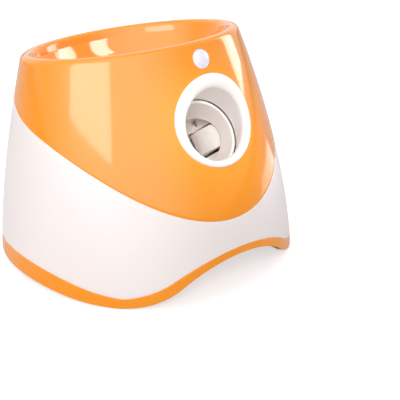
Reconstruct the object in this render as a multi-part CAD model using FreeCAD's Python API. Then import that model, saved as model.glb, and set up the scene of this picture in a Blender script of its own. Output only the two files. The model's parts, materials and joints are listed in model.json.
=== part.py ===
import FreeCAD, Part
import math
import os
from FreeCAD import Matrix, Vector

# Automatic dog ball launcher, in millimetres.
# +Z is up, the outlet faces -Y, and the origin is under the middle of the base.

# Leaning oval body
base_half_x = 125.0
base_front = 131.3
base_rear = 128.7
rim_half_x = 91.5
rim_front = 71.0
rim_rear = 102.5
rim_height = 182.0
rim_slope = 0.2
flare_power = 1.5
wall = 3.0
skin_gap = 0.1
section_count = 11

# Rim and hopper funnel
rim_width = 11.0
rim_depth = 8.0
rim_round = 5.3
funnel_wall = 2.5
funnel_floor = 126.0
funnel_lean = 0.33
funnel_power = 5.0
funnel_steps = (0.0, 0.25, 0.5, 0.75, 0.9, 1.0)
flange_gap = 0.3

# Arches under the base, the hem of the skirt and the curved seam
foot_height = 1.0
front_arch = dict(half=99.0, rise=34.0, crown=86.0)
side_arch = dict(half=96.0, rise=4.8, crown=481.0)
band_height = 7.7
front_hem = dict(half=109.6, rise=32.9, crown=106.6)
side_hem = dict(half=121.8, rise=13.4, crown=280.0)
seam_y = 0.0
seam_height = 124.3
seam_rise = 0.2
seam_curve = 0.00246
far = 160.0
high = 260.0
deep = -20.0

# Base band, base plate, feet and screws
floor_bottom = 36.0
floor_top = 40.0
band_wall = 5.5
foot_x = 78.0
foot_y = 76.0
foot_radius = 9.0
foot_post_radius = 8.0
plate_height = 0.235
plate_gap = 0.5
foot_thick = 2.0
foot_edge = 0.8
foot_stem = dict(radius=3.0, top=7.0)
screw_x = 100.0
screw_y = 40.0
screw_radius = 1.2
screw_collar = 1.5
screw_head = dict(radius=3.0, height=2.0)
screw_reach = 11.0
block_half = 6.0
block_height = 14.0
housing_screws = ((15.0, 4.0), (19.0, -67.0))

# Ball path
bore_radius = 27.0
tube_wall = 2.5
barrel_angle = 36.0
barrel_front = Vector(0, -98.4, 134.8)
barrel_setback = 22.0
barrel_gap = 1.0
barrel_edge = 1.1
nip_depth = 75.0
drop_point = Vector(0, -2.0, 98.0)

# Outlet bezel
bezel_centre = Vector(0, -96.0, 138.9)
bezel_angle = 23.0
bezel_radius = 36.8
bezel_throat = 28.2
bezel_drop = 3.2
bezel_proud = 3.0
bezel_wall = 1.8
bezel_root = 7.0

# Launch wheels, their wells and motors
wheel_offset = 50.5
wheel_depth = 60.0
wheel_radius = 28.5
wheel_width = 20.0
wheel_edge = 1.0
hub_radius = 20.0
hub_rim = 3.0
hub_web = 2.0
hub_core = 4.5
well_gap = 2.2
well_open_x = 62.0
port_depth = 59.5
port_radius = 21.5
port_reach = 31.0
port_slot = dict(near=67.0, far=71.0, low=15.0, high=22.0)
motor_radius = 12.2
motor_length = 31.0
motor_edge = 1.5
motor_boss = dict(radius=5.0, height=1.8)
motor_tail = dict(radius=4.0, height=2.0)
motor_terminal = dict(radius=1.0, side=6.0, height=4.0)
motor_shaft_radius = 1.6
shaft_seat = 4.0
bolt_radius = 1.25
bolt_reach = 2.8
bolt_head = dict(radius=2.3, height=1.2)
bolt_spread = 8.0
running_gap = 0.05
split_y = -37.0
rear_post = dict(x0=10.0, x1=20.0, y0=-2.0, y1=10.0, top=80.0)
front_post = dict(x0=14.0, x1=24.0, y0=-72.0, y1=-62.0, top=90.0)
gate_slot = dict(half=5.0, front=-58.0, rear=-19.0)
trip_slot = dict(half=4.0, front=-12.0, rear=-1.0)
slot_low = 50.0
slot_high = 75.0

# Feed gate
gate_y = -26.0
gate_z = 54.5
gate_reach = 27.5
gate_finger = dict(half=3.0, thick=3.6)
gate_hub = dict(radius=4.0, half=3.5)
gate_shaft_radius = 2.0
gate_shaft_ends = (-9.0, 18.0)
gate_cheek = dict(thick=2.5, half=5.0, near=5.0)
gate_foot = dict(x0=-12.0, x1=9.0, half=9.0, thick=2.5)
gate_case = dict(x0=10.5, x1=32.5, front=6.5, rear=16.5, half_z=6.0)
gate_ears = dict(x0=13.0, x1=15.0, reach=4.5)

# Ball trip lever
trip_y = 16.0
trip_z = 64.0
trip_pin_radius = 1.5
trip_hub = dict(radius=3.0, half=3.4)
trip_arm = dict(half=2.0, front=-9.0, thick=1.6)
trip_nose = dict(y=-6.5, z=70.0, radius=2.5)
trip_cheek = dict(thick=1.7, half=5.5, near=3.8, depth=3.5)
trip_base = dict(front=-6.0, rear=20.0, top=47.0)
trip_case = dict(half=3.2, front=-4.0, rear=9.0, top=56.0)
trip_plunger = dict(radius=0.9, y=2.5, top=60.5)

# Sensor over the outlet
sensor_z = 184.0
sensor_radius = 7.8
sensor_dome = 11.0
sensor_rise = 2.6
sensor_wall = 1.2
sensor_plate = 1.6
sensor_can = dict(radius=4.6, reach=3.2)

# Battery bay
bay_half_x = 54.0
bay_front = 34.0
bay_rear = 92.0
bay_top = 67.0
bay_wall = 2.0
bay_flange = 7.0
bay_rib = dict(half=40.0, thick=1.6, drop=8.0)
cell_y = (48.0, 78.0)
cell_z = 53.0
contact = dict(thick=0.5, half=9.0)
spring = dict(turns=4, radius=7.0, wire=0.6, pitch=1.1)
door_gap = 0.5
door_thick = 3.0
door_pin_radius = 1.2
door_pin_reach = 2.0
door_scoop = dict(radius=9.0, depth=1.2)
door_grip = dict(count=5, half=14.0, width=1.5, pitch=4.0, depth=0.6, start=18.0)

# Control panel at the back
panel_half_x = 34.0
panel_low = 91.0
panel_high = 119.0
panel_corner = 8.0
panel_gap = 0.2
panel_lean = 9.0
button_radius = 7.0
button_gap = 0.35
button_x = 20.0
button_z = 105.0
button_rise = 2.2
button_depth = 5.0
button_edge = 1.2
button_skirt = dict(radius=8.2, top=5.6, low=7.0)
button_neck = 6.2
button_stem = dict(radius=1.6, low=9.4)
light = dict(radius=1.5, pitch=6.0, rise=0.2)
panel_card = dict(half_x=30.0, half_z=11.0, thick=1.6, depth=14.9)
panel_switch = dict(half=3.0, height=2.0)

# Supply socket
jack_z = 66.0
jack_case = dict(half_x=4.5, half_z=5.5, depth=15.0)
jack_nose = 4.0
jack_hole = 3.1
jack_pin = 1.05
jack_depth = 11.0
jack_setback = 1.3
jack_recess = 0.5

# Control board and buzzer
board = dict(x0=-98.0, x1=-62.0, y0=-22.0, y1=26.0, z=48.0, thick=1.6, corner=4.0)
board_pillar = 3.0
board_chip = dict(x=-81.0, y=1.0, half=5.0, height=1.8)
board_cans = dict(x=(-90.0, -81.0, -72.0), y=16.0, radius=3.2, height=11.0)
board_blocks = dict(x=(-92.0, -70.0), y=-11.0, half_x=5.0, half_y=3.0, height=7.0)
board_bolt = dict(radius=1.25, reach=7.0, head=2.4, height=1.6)
buzzer_spot = dict(x=84.0, y=8.0, radius=13.0, height=7.0, hole=1.5, edge=1.5)

x_axis = Vector(1, 0, 0)
y_axis = Vector(0, 1, 0)
z_axis = Vector(0, 0, 1)


def save(name, shapes):
    solids = []
    for shape in shapes if isinstance(shapes, list) else [shapes]:
        solids += shape.Solids
    whole = solids[0] if len(solids) == 1 else Part.makeCompound(solids)
    whole.exportStep("parts/%s.step" % name)
    valid = all(solid.isValid() for solid in solids)
    print("%-24s %2d solids %10.1f mm3 %s" % (name, len(solids), sum(s.Volume for s in solids), valid),
          flush=True)


def tilted(degrees):
    angle = math.radians(degrees)
    return Vector(0, -math.cos(angle), math.sin(angle))


def box(x0, x1, y0, y1, z0, z1):
    return Part.makeBox(x1 - x0, y1 - y0, z1 - z0, Vector(x0, y0, z0))


def rod(radius, start, end):
    return Part.makeCylinder(radius, (end - start).Length, start, end - start)


def round_edges(shape):
    # the full circles of a turned shape, without its seams
    return [edge for edge in shape.Edges if len(edge.Vertexes) == 1]


def mirrored(shape):
    return shape.mirror(Vector(0, 0, 0), x_axis)


# The leaning oval body

def body_half_sizes(height, inset):
    ease = 1.0 - height ** flare_power
    half_x = rim_half_x + (base_half_x - rim_half_x) * ease - inset
    front = rim_front + (base_front - rim_front) * ease - inset
    rear = rim_rear + (base_rear - rim_rear) * ease - inset
    return half_x, front, rear


def oval(half_x, front, rear, level, slope):
    half_y = (front + rear) / 2.0
    mid_y = (rear - front) / 2.0
    place = Matrix()
    place.A11 = half_x
    place.A22 = half_y
    place.A24 = mid_y
    place.A32 = -slope * half_y
    place.A34 = level - slope * mid_y
    circle = Part.Circle(Vector(0, 0, 0), z_axis, 1.0).toShape()
    return Part.Wire([circle.transformGeometry(place)])


def body_section(height, inset):
    half_x, front, rear = body_half_sizes(height, inset)
    return oval(half_x, front, rear, height * rim_height, height * rim_slope)


def rim_section(inset, drop):
    half_x, front, rear = body_half_sizes(1.0, inset)
    return oval(half_x, front, rear, rim_height - drop, rim_slope)


def body_solid(inset):
    sections = [body_section(i / (section_count - 1.0), inset) for i in range(section_count)]
    return Part.makeLoft(sections, True, False)


def front_y(z, inset=0.0):
    low, high = 0.0, 1.0
    for _ in range(40):
        height = (low + high) / 2.0
        front = body_half_sizes(height, inset)[1]
        if height * (rim_height + rim_slope * front) < z:
            low = height
        else:
            high = height
    return -body_half_sizes(low, inset)[1]


def rear_y(z, inset=0.0):
    low, high = 0.0, 1.0
    for _ in range(40):
        height = (low + high) / 2.0
        rear = body_half_sizes(height, inset)[2]
        if height * (rim_height - rim_slope * rear) < z:
            low = height
        else:
            high = height
    return body_half_sizes(low, inset)[2]


# Curves that trim the body

def arch_points(arch, level):
    half, rise, crown = arch["half"], arch["rise"], arch["crown"]
    reach = (half * half + rise * rise) / (2.0 * rise)
    toe = reach - crown
    turn = math.asin(half / reach)
    join = (crown * math.sin(turn), level + rise - crown * (1.0 - math.cos(turn)))
    middle = (half - toe * math.sin(turn / 2.0), level + toe * (1.0 - math.cos(turn / 2.0)))
    return join, middle


def arch_cutter(arch, level, along_x):
    join, middle = arch_points(arch, level)
    top = level + arch["rise"]

    def at(u, z):
        return Vector(-far, u, z) if along_x else Vector(u, -far, z)

    edges = [
        Part.makeLine(at(-far, level), at(-arch["half"], level)),
        Part.Arc(at(-arch["half"], level), at(-middle[0], middle[1]), at(-join[0], join[1])).toShape(),
        Part.Arc(at(-join[0], join[1]), at(0, top), at(join[0], join[1])).toShape(),
        Part.Arc(at(join[0], join[1]), at(middle[0], middle[1]), at(arch["half"], level)).toShape(),
        Part.makeLine(at(arch["half"], level), at(far, level)),
        Part.makeLine(at(far, level), at(far, deep)),
        Part.makeLine(at(far, deep), at(-far, deep)),
        Part.makeLine(at(-far, deep), at(-far, level)),
    ]
    face = Part.Face(Part.Wire(edges))
    return face.extrude(Vector(2 * far, 0, 0) if along_x else Vector(0, 2 * far, 0))


def below_base():
    front = arch_cutter(front_arch, foot_height, False)
    side = arch_cutter(side_arch, foot_height, True)
    return front.fuse(side)


def below_hem():
    front = arch_cutter(front_hem, band_height, False)
    side = arch_cutter(side_hem, band_height, True)
    return front.fuse(side)


def above_seam():
    # a parabola towards the front that runs on as a straight line towards the back
    middle_y = (seam_y - far) / 2.0
    front_z = seam_height - seam_rise * (seam_y + far) - seam_curve * (seam_y + far) ** 2
    middle_z = seam_height - seam_rise * (seam_y - middle_y)
    back_z = seam_height + seam_rise * (far - seam_y)
    curve = Part.BezierCurve()
    join = Vector(-far, seam_y, seam_height)
    curve.setPoles([Vector(-far, -far, front_z), Vector(-far, middle_y, middle_z), join])
    edges = [
        curve.toShape(),
        Part.makeLine(join, Vector(-far, far, back_z)),
        Part.makeLine(Vector(-far, far, back_z), Vector(-far, far, high)),
        Part.makeLine(Vector(-far, far, high), Vector(-far, -far, high)),
        Part.makeLine(Vector(-far, -far, high), Vector(-far, -far, front_z)),
    ]
    return Part.Face(Part.Wire(edges)).extrude(Vector(2 * far, 0, 0))


# Outlet

def bezel_axis():
    return tilted(bezel_angle)


def barrel_axis():
    return tilted(barrel_angle)


def barrel_up():
    angle = math.radians(barrel_angle)
    return Vector(0, math.sin(angle), math.cos(angle))


def on_barrel(depth, side=0.0, up=0.0):
    return barrel_front - barrel_axis() * depth + x_axis * side + barrel_up() * up


def ring_wire(centre, axis, radius):
    return Part.Wire([Part.Circle(centre, axis, radius).toShape()])


def bezel_up():
    angle = math.radians(bezel_angle)
    return Vector(0, math.sin(angle), math.cos(angle))


def bezel_passage(grow, start):
    # widens from the throat to the front edge of the barrel
    mouth = bezel_centre - bezel_up() * bezel_drop
    wires = [
        ring_wire(mouth + bezel_axis() * start, bezel_axis(), bezel_throat + grow),
        ring_wire(on_barrel(barrel_setback - barrel_gap), barrel_axis(), bore_radius + tube_wall + grow),
    ]
    return Part.makeLoft(wires, True, True)


def outlet_bezel(proud_skin):
    start = bezel_centre - bezel_axis() * bezel_root
    flange = rod(bezel_radius, start, start + bezel_axis() * 4 * bezel_root)
    flange = flange.common(proud_skin)
    sleeve = bezel_passage(bezel_wall, -bezel_proud)
    return flange.fuse(sleeve).cut(bezel_passage(0.0, 2 * bezel_root)).removeSplitter()


# Launch housing

def ball_path(radius):
    nip = on_barrel(nip_depth)
    shape = rod(radius, on_barrel(barrel_setback), nip)
    shape = shape.fuse(Part.makeSphere(radius, nip))
    shape = shape.fuse(rod(radius, nip, drop_point))
    shape = shape.fuse(Part.makeSphere(radius, drop_point))
    return shape.fuse(rod(radius, drop_point, Vector(0, drop_point.y, funnel_floor)))


def barrel_box(side0, side1, depth0, depth1, up0, up1):
    shape = box(side0, side1, depth0, depth1, up0, up1)
    shape.rotate(Vector(0, 0, 0), x_axis, -barrel_angle)
    shape.translate(barrel_front)
    return shape


def wheel_well(radius, half_height):
    return rod(radius, on_barrel(wheel_depth, wheel_offset, -half_height),
               on_barrel(wheel_depth, wheel_offset, half_height))


def port(radius, reach):
    # the round recess in the side of the barrel that the wheel shows through
    return rod(radius, on_barrel(port_depth, 0.0), on_barrel(port_depth, reach))


def well_half():
    return wheel_width / 2.0 + well_gap


def bolt_points():
    return [on_barrel(wheel_depth + d, wheel_offset, 0.0) for d in (-bolt_spread, bolt_spread)]


def post(spot):
    return box(spot["x0"], spot["x1"], spot["y0"], spot["y1"], floor_top, spot["top"])


def slot(spot):
    return box(-spot["half"], spot["half"], spot["front"], spot["rear"], slot_low, slot_high)


def port_notch():
    return barrel_box(port_reach - tube_wall, port_reach + 2 * tube_wall, port_slot["near"], port_slot["far"],
                      port_slot["low"], port_slot["high"])


def housing_cuts():
    up = barrel_up()
    cheek = on_barrel(wheel_depth, wheel_offset, -well_half() - 2 * tube_wall)
    cuts = [ball_path(bore_radius), wheel_well(wheel_radius + well_gap, well_half())]
    cuts += [port(port_radius, port_reach), port_notch()]
    cuts.append(rod(motor_boss["radius"] + 2 * running_gap, cheek, cheek + up * 3 * tube_wall))
    for point in bolt_points():
        start = point - up * (well_half() + 2 * tube_wall)
        cuts.append(rod(bolt_radius + running_gap, start, start + up * 3 * tube_wall))
    cuts += [slot(gate_slot), slot(trip_slot)]
    for x, y in housing_screws:
        foot = Vector(x, y, floor_top - 1)
        cuts.append(rod(screw_radius, foot, foot + z_axis * (screw_reach + 2.0)))
    cuts.append(box(well_open_x, far, -far, far, 0, high))
    cuts.append(box(-far, 0, -far, far, 0, high))
    cuts.append(box(-far, far, drop_point.y - bore_radius - 2 * tube_wall, far, funnel_floor, high))
    return cuts


def behind_split():
    return box(-far, far, split_y, far, 0, high)


def outer_well():
    return wheel_well(wheel_radius + well_gap + tube_wall, well_half() + tube_wall)


def port_boss():
    return port(port_radius + tube_wall, port_reach + tube_wall)


def launch_housing_right():
    body = ball_path(bore_radius + tube_wall).cut(behind_split())
    body = body.fuse([outer_well(), port_boss(), post(front_post)])
    for cutter in housing_cuts():
        body = body.cut(cutter)
    body = body.removeSplitter()
    front = [edge for edge in body.Edges if abs(front_depth(edge)) < 0.01]
    return body.makeFillet(barrel_edge, front)


def feed_tube_right():
    body = ball_path(bore_radius + tube_wall).common(behind_split()).cut([outer_well(), port_boss()])
    body = body.fuse(post(rear_post))
    for cutter in housing_cuts():
        body = body.cut(cutter)
    return body.removeSplitter()


def front_depth(edge):
    # how far a round edge lies from the front face of the barrel
    if not isinstance(edge.Curve, Part.Circle):
        return high
    offsets = [(barrel_front - vertex.Point).dot(barrel_axis()) - barrel_setback for vertex in edge.Vertexes]
    return max(offsets, key=abs)


# Wheels and motors on the right side

def wheel_tyre():
    middle = on_barrel(wheel_depth, wheel_offset)
    half = barrel_up() * (wheel_width / 2.0)
    tyre = rod(wheel_radius, middle - half, middle + half)
    tyre = tyre.cut(rod(hub_radius, middle - half * 2, middle + half * 2))
    rims = [edge for edge in round_edges(tyre) if abs(edge.Curve.Radius - wheel_radius) < 0.01]
    return tyre.makeFillet(wheel_edge, rims)


def wheel_hub():
    middle = on_barrel(wheel_depth, wheel_offset)
    up = barrel_up()
    half = wheel_width / 2.0 - wheel_edge / 2.0
    hub = rod(hub_radius, middle - up * half, middle + up * half)
    for outward in (up, -up):
        hub = hub.cut(rod(hub_radius - hub_rim, middle + outward * hub_web, middle + outward * wheel_width))
    hub = hub.fuse(rod(hub_core, middle - up * half, middle + up * half))
    hub = hub.cut(rod(motor_shaft_radius, middle - up * wheel_width, middle + up * wheel_width))
    return hub.removeSplitter()


def motor_face():
    return on_barrel(wheel_depth, wheel_offset, -(well_half() + tube_wall))


def motor_shaft():
    start = motor_face() - barrel_up() * (motor_length - shaft_seat)
    end = on_barrel(wheel_depth, wheel_offset, wheel_width / 2.0 + wheel_edge)
    return rod(motor_shaft_radius, start, end)


def wheel_motor():
    up = barrel_up()
    face = motor_face()
    back = face - up * motor_length
    can = rod(motor_radius, back, face)
    can = can.makeFillet(motor_edge, round_edges(can))
    boss = rod(motor_boss["radius"], face - up * motor_boss["height"], face + up * motor_boss["height"])
    tail = rod(motor_tail["radius"], back - up * motor_tail["height"], back + up)
    terminals = []
    for side in (-1, 1):
        corner = back + x_axis * side * motor_terminal["side"]
        terminals.append(rod(motor_terminal["radius"], corner - up * motor_terminal["height"], corner + up))
    motor = can.fuse([boss, tail] + terminals)
    seat = face - up * (motor_length - shaft_seat + running_gap)
    motor = motor.cut(rod(motor_shaft_radius + running_gap, seat, face + up * 2 * motor_boss["height"]))
    for point in bolt_points():
        start = point - up * (well_half() + tube_wall + bolt_reach)
        motor = motor.cut(rod(bolt_radius, start, start + up * 2 * bolt_reach))
    return motor


def motor_screws():
    up = barrel_up()
    screws = []
    for point in bolt_points():
        seat = point - up * well_half()
        shank = rod(bolt_radius, seat - up * (tube_wall + bolt_reach), seat)
        screws.append(shank.fuse(rod(bolt_head["radius"], seat, seat + up * bolt_head["height"])))
    return screws


# Feed gate

def gate_rod(radius, x0, x1):
    return rod(radius, Vector(x0, gate_y, gate_z), Vector(x1, gate_y, gate_z))


def feed_gate():
    half, thick = gate_finger["half"], gate_finger["thick"] / 2.0
    top = gate_z + gate_reach - thick
    hub = gate_rod(gate_hub["radius"], -gate_hub["half"], gate_hub["half"])
    finger = box(-half, half, gate_y - thick, gate_y + thick, gate_z, top)
    tip = rod(thick, Vector(-half, gate_y, top), Vector(half, gate_y, top))
    bore = gate_rod(gate_shaft_radius, -2 * gate_hub["half"], 2 * gate_hub["half"])
    return hub.fuse([finger, tip]).cut(bore).removeSplitter()


def gate_shaft():
    return gate_rod(gate_shaft_radius, *gate_shaft_ends)


def gate_bracket():
    thick, half = gate_cheek["thick"], gate_cheek["half"]
    shape = box(gate_foot["x0"], gate_foot["x1"], gate_y - gate_foot["half"], gate_y + gate_foot["half"],
                floor_top, floor_top + gate_foot["thick"])
    for x in (-gate_cheek["near"] - thick, gate_cheek["near"]):
        cheek = box(x, x + thick, gate_y - half, gate_y + half, floor_top, gate_z)
        shape = shape.fuse([cheek, gate_rod(half, x, x + thick)])
    bore = gate_rod(gate_shaft_radius + running_gap, gate_foot["x0"], -gate_foot["x0"])
    return shape.cut(bore).removeSplitter()


def gate_motor():
    spot, low, high_z = gate_case, gate_z - gate_case["half_z"], gate_z + gate_case["half_z"]
    front, rear = gate_y - spot["front"], gate_y + spot["rear"]
    reach = gate_ears["reach"]
    case = box(spot["x0"], spot["x1"], front, rear, low, high_z)
    ears = box(gate_ears["x0"], gate_ears["x1"], front - reach, rear + reach, low, high_z)
    foot = box(spot["x0"], spot["x1"], front + reach / 2, rear - reach / 2, floor_top, low)
    bore = gate_rod(gate_shaft_radius + running_gap, gate_foot["x1"], gate_shaft_ends[1] + 1.0)
    return case.fuse([ears, foot]).cut(bore).removeSplitter()


# Ball trip lever

def trip_rod(radius, half):
    return rod(radius, Vector(-half, trip_y, trip_z), Vector(half, trip_y, trip_z))


def trip_lever():
    half, thick = trip_arm["half"], trip_arm["thick"] / 2.0
    arm = box(-half, half, trip_arm["front"], trip_y, trip_z - thick, trip_z + thick)
    bump = box(-half, half, trip_nose["y"] - trip_nose["radius"], trip_nose["y"] + trip_nose["radius"],
               trip_z, trip_nose["z"])
    nose = rod(trip_nose["radius"], Vector(-half, trip_nose["y"], trip_nose["z"]),
               Vector(half, trip_nose["y"], trip_nose["z"]))
    lever = trip_rod(trip_hub["radius"], trip_hub["half"]).fuse([arm, bump, nose])
    return lever.cut(trip_rod(trip_pin_radius + running_gap, 2 * trip_hub["half"])).removeSplitter()


def trip_pin():
    return trip_rod(trip_pin_radius, trip_cheek["half"])


def trip_bracket():
    half, depth = trip_cheek["half"], trip_cheek["depth"]
    shape = box(-half, half, trip_base["front"], trip_base["rear"], floor_top, trip_base["top"])
    for x in (-half, trip_cheek["near"]):
        shape = shape.fuse(box(x, x + trip_cheek["thick"], trip_y - depth, trip_y + depth,
                               floor_top, trip_z + trip_hub["radius"]))
    return shape.cut(trip_rod(trip_pin_radius, 2 * half)).removeSplitter()


def trip_switch():
    half = trip_case["half"]
    case = box(-half, half, trip_case["front"], trip_case["rear"], trip_base["top"], trip_case["top"])
    return case.fuse(rod(trip_plunger["radius"], Vector(0, trip_plunger["y"], trip_case["top"] - 1),
                         Vector(0, trip_plunger["y"], trip_plunger["top"])))


# Sensor

def sensor_frame():
    below = Vector(0, front_y(sensor_z - 1), sensor_z - 1)
    along = (Vector(0, front_y(sensor_z + 1), sensor_z + 1) - below).normalize()
    return Vector(0, front_y(sensor_z), sensor_z), Vector(0, -along.z, along.y)


def sensor_rod(radius, low, top):
    point, outward = sensor_frame()
    return rod(radius, point + outward * low, point + outward * top)


def sensor_lens():
    point, outward = sensor_frame()
    centre = point + outward * (sensor_rise - sensor_dome)
    inner_radius = sensor_radius - sensor_wall
    dome = Part.makeSphere(sensor_dome, centre).common(sensor_rod(sensor_radius, -1.5 * wall, sensor_dome))
    inner = Part.makeSphere(sensor_dome - sensor_wall, centre)
    dome = dome.cut(inner.common(sensor_rod(inner_radius, -2 * sensor_dome, sensor_dome)))
    ring = sensor_rod(sensor_radius, -2 * wall, -wall / 2)
    return dome.fuse(ring.cut(sensor_rod(inner_radius, -2 * sensor_dome, sensor_dome))).removeSplitter()


def sensor_board():
    # a round card pressed into the open end of the lens
    top = -2 * wall + sensor_plate
    card = sensor_rod(sensor_radius - sensor_wall, -2 * wall, top)
    return card.fuse(sensor_rod(sensor_can["radius"], top - sensor_plate / 2, top + sensor_can["reach"]))


# Battery bay

def bay_box(grow, z0, z1):
    return box(-bay_half_x - grow, bay_half_x + grow, bay_front - min(grow, bay_wall),
               bay_rear + min(grow, bay_wall), z0, z1)


def battery_box():
    middle = (bay_front + bay_rear) / 2.0
    half = bay_rib["thick"] / 2.0
    outer = bay_box(bay_wall, floor_top, bay_top + bay_wall)
    flange = bay_box(bay_flange, floor_top, floor_top + bay_wall)
    rib = box(-bay_rib["half"], bay_rib["half"], middle - half, middle + half,
              bay_top - bay_rib["drop"], bay_top + 1)
    return outer.fuse(flange).cut(bay_box(0.0, floor_top - 1, bay_top)).fuse(rib).removeSplitter()


def battery_contacts():
    plates = []
    half = contact["half"]
    for side in (-1, 1):
        near, end = side * (bay_half_x - contact["thick"]), side * bay_half_x
        for y in cell_y:
            plates.append(box(min(near, end), max(near, end), y - half, y + half,
                              cell_z - half, cell_z + half))
    return plates


def battery_springs():
    springs = []
    for side, y in zip((-1, 1), cell_y):
        for turn in range(spring["turns"]):
            x = side * (bay_half_x - contact["thick"] - spring["wire"] - spring["pitch"] * turn)
            springs.append(Part.makeTorus(spring["radius"] - spring["pitch"] * turn, spring["wire"],
                                          Vector(x, y, cell_z), x_axis))
    return springs


def door_pin():
    return Vector(0, bay_front + door_gap + door_thick / 2.0, floor_bottom + door_gap + door_thick / 2.0)


def door_rod(radius, half):
    return rod(radius, door_pin() - x_axis * half, door_pin() + x_axis * half)


def battery_door():
    pin = door_pin()
    half_x = bay_half_x - door_gap
    low = pin.z - door_thick / 2.0
    plate = box(-half_x, half_x, pin.y, bay_rear - door_gap, low, low + door_thick)
    pins = door_rod(door_pin_radius, half_x + door_pin_reach)
    shape = plate.fuse([door_rod(door_thick / 2.0, half_x), pins])
    edge = Vector(0, bay_rear + bay_wall, low)
    cuts = [rod(door_scoop["radius"], edge - z_axis * door_thick, edge + z_axis * door_scoop["depth"])]
    for i in range(door_grip["count"]):
        y = bay_rear - door_grip["start"] - door_grip["pitch"] * i
        cuts.append(box(-door_grip["half"], door_grip["half"], y, y + door_grip["width"],
                        low - 1, low + door_grip["depth"]))
    return shape.cut(cuts).removeSplitter()


# Control panel

def panel_axis():
    angle = math.radians(panel_lean)
    return Vector(0, math.cos(angle), math.sin(angle))


def panel_prism(grow):
    x = panel_half_x + grow
    prism = box(-x, x, base_rear / 2, far, panel_low - grow, panel_high + grow)
    long_edges = [edge for edge in prism.Edges if edge.BoundBox.YLength > 1]
    return prism.makeFillet(panel_corner + grow, long_edges)


def button_seat(x):
    rear = rear_y(button_z)
    fall = rear * (1.0 - math.sqrt(1.0 - (x / rear) ** 2))
    return Vector(x, rear - fall, button_z)


def panel_rod(radius, x, low, top):
    seat = button_seat(x)
    return rod(radius, seat + panel_axis() * low, seat + panel_axis() * top)


def panel_button(x):
    cap = panel_rod(button_radius, x, -button_depth, button_rise)
    rims = [edge for edge in round_edges(cap) if edge.BoundBox.Center.y > button_seat(x).y]
    cap = cap.makeFillet(button_edge, rims)
    skirt = panel_rod(button_skirt["radius"], x, -button_skirt["low"], -button_skirt["top"])
    neck = panel_rod(button_neck, x, -button_skirt["top"] - 0.5, -button_depth + 0.5)
    stem = panel_rod(button_stem["radius"], x, -button_stem["low"], -button_skirt["low"] + 0.5)
    return cap.fuse([skirt, neck, stem]).removeSplitter()


def panel_lights():
    seat = Vector(0, rear_y(button_z), button_z)
    lights = []
    for i in (-1, 0, 1):
        place = seat + x_axis * light["pitch"] * i
        lights.append(rod(light["radius"], place - panel_axis() * panel_card["depth"],
                          place + panel_axis() * light["rise"]))
    return lights


def panel_board():
    half_x, half_z = panel_card["half_x"], panel_card["half_z"]
    reach = panel_switch["half"]
    card = box(-half_x, half_x, -panel_card["thick"], 0, -half_z, half_z)
    for x in (-button_x, button_x):
        card = card.fuse(box(x - reach, x + reach, -panel_card["thick"] / 2, panel_switch["height"],
                             -reach, reach))
    card.rotate(Vector(0, 0, 0), x_axis, panel_lean)
    card.translate(button_seat(0) - panel_axis() * panel_card["depth"])
    return card


def control_panel(skin, hollow):
    cuts = [panel_rod(button_radius + button_gap, x, -2 * button_depth, 2 * button_depth)
            for x in (-button_x, button_x)]
    return skin.cut(hollow).common(panel_prism(0.0).cut(cuts + panel_lights()))


def jack_rod(radius, depth, top):
    y = rear_y(jack_z)
    return rod(radius, Vector(0, y - depth, jack_z), Vector(0, y + top, jack_z))


def dc_jack():
    y = rear_y(jack_z)
    half_x, half_z = jack_case["half_x"], jack_case["half_z"]
    rear = y - wall - jack_setback
    case = box(-half_x, half_x, y - jack_case["depth"], rear, jack_z - half_z, jack_z + half_z)
    shape = case.fuse(jack_rod(jack_nose, wall + 2 * jack_setback, -jack_recess))
    shape = shape.cut(jack_rod(jack_hole, jack_depth, wall))
    return shape.fuse(jack_rod(jack_pin, jack_depth + 1, -4 * jack_recess)).removeSplitter()


# Control board and buzzer

def board_corners():
    inset = board["corner"]
    return [(x, y) for x in (board["x0"] + inset, board["x1"] - inset)
            for y in (board["y0"] + inset, board["y1"] - inset)]


def board_top():
    return board["z"] + board["thick"]


def upright(radius, x, y, z0, z1):
    return rod(radius, Vector(x, y, z0), Vector(x, y, z1))


def control_board():
    card = box(board["x0"], board["x1"], board["y0"], board["y1"], board["z"], board_top())
    return card.cut([upright(board_bolt["radius"] + running_gap, x, y, board["z"] - 1, board_top() + 1)
                     for x, y in board_corners()])


def board_parts():
    top = board_top()
    half, x, y = board_chip["half"], board_chip["x"], board_chip["y"]
    parts = [box(x - half, x + half, y - half, y + half, top, top + board_chip["height"])]
    for x in board_cans["x"]:
        parts.append(upright(board_cans["radius"], x, board_cans["y"], top, top + board_cans["height"]))
    half_x, half_y, y = board_blocks["half_x"], board_blocks["half_y"], board_blocks["y"]
    for x in board_blocks["x"]:
        parts.append(box(x - half_x, x + half_x, y - half_y, y + half_y, top, top + board_blocks["height"]))
    return parts


def board_screws():
    top = board_top()
    screws = []
    for x, y in board_corners():
        shank = upright(board_bolt["radius"], x, y, top - board_bolt["reach"], top)
        screws.append(shank.fuse(upright(board_bolt["head"], x, y, top, top + board_bolt["height"])))
    return screws


def buzzer():
    x, y, top = buzzer_spot["x"], buzzer_spot["y"], floor_top + buzzer_spot["height"]
    case = upright(buzzer_spot["radius"], x, y, floor_top, top)
    case = case.makeFillet(buzzer_spot["edge"], [edge for edge in case.Edges if edge.BoundBox.ZMin > top - 1])
    return case.cut(upright(buzzer_spot["hole"], x, y, top - buzzer_spot["height"] / 2, top + 1))


# Shells, base and feet


def everywhere():
    return box(-far, far, -far, far, deep, high)


def rim_hole():
    sections = [rim_section(rim_width, rim_depth + 1), rim_section(rim_width, -rim_depth)]
    return Part.makeLoft(sections, True, True)


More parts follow.
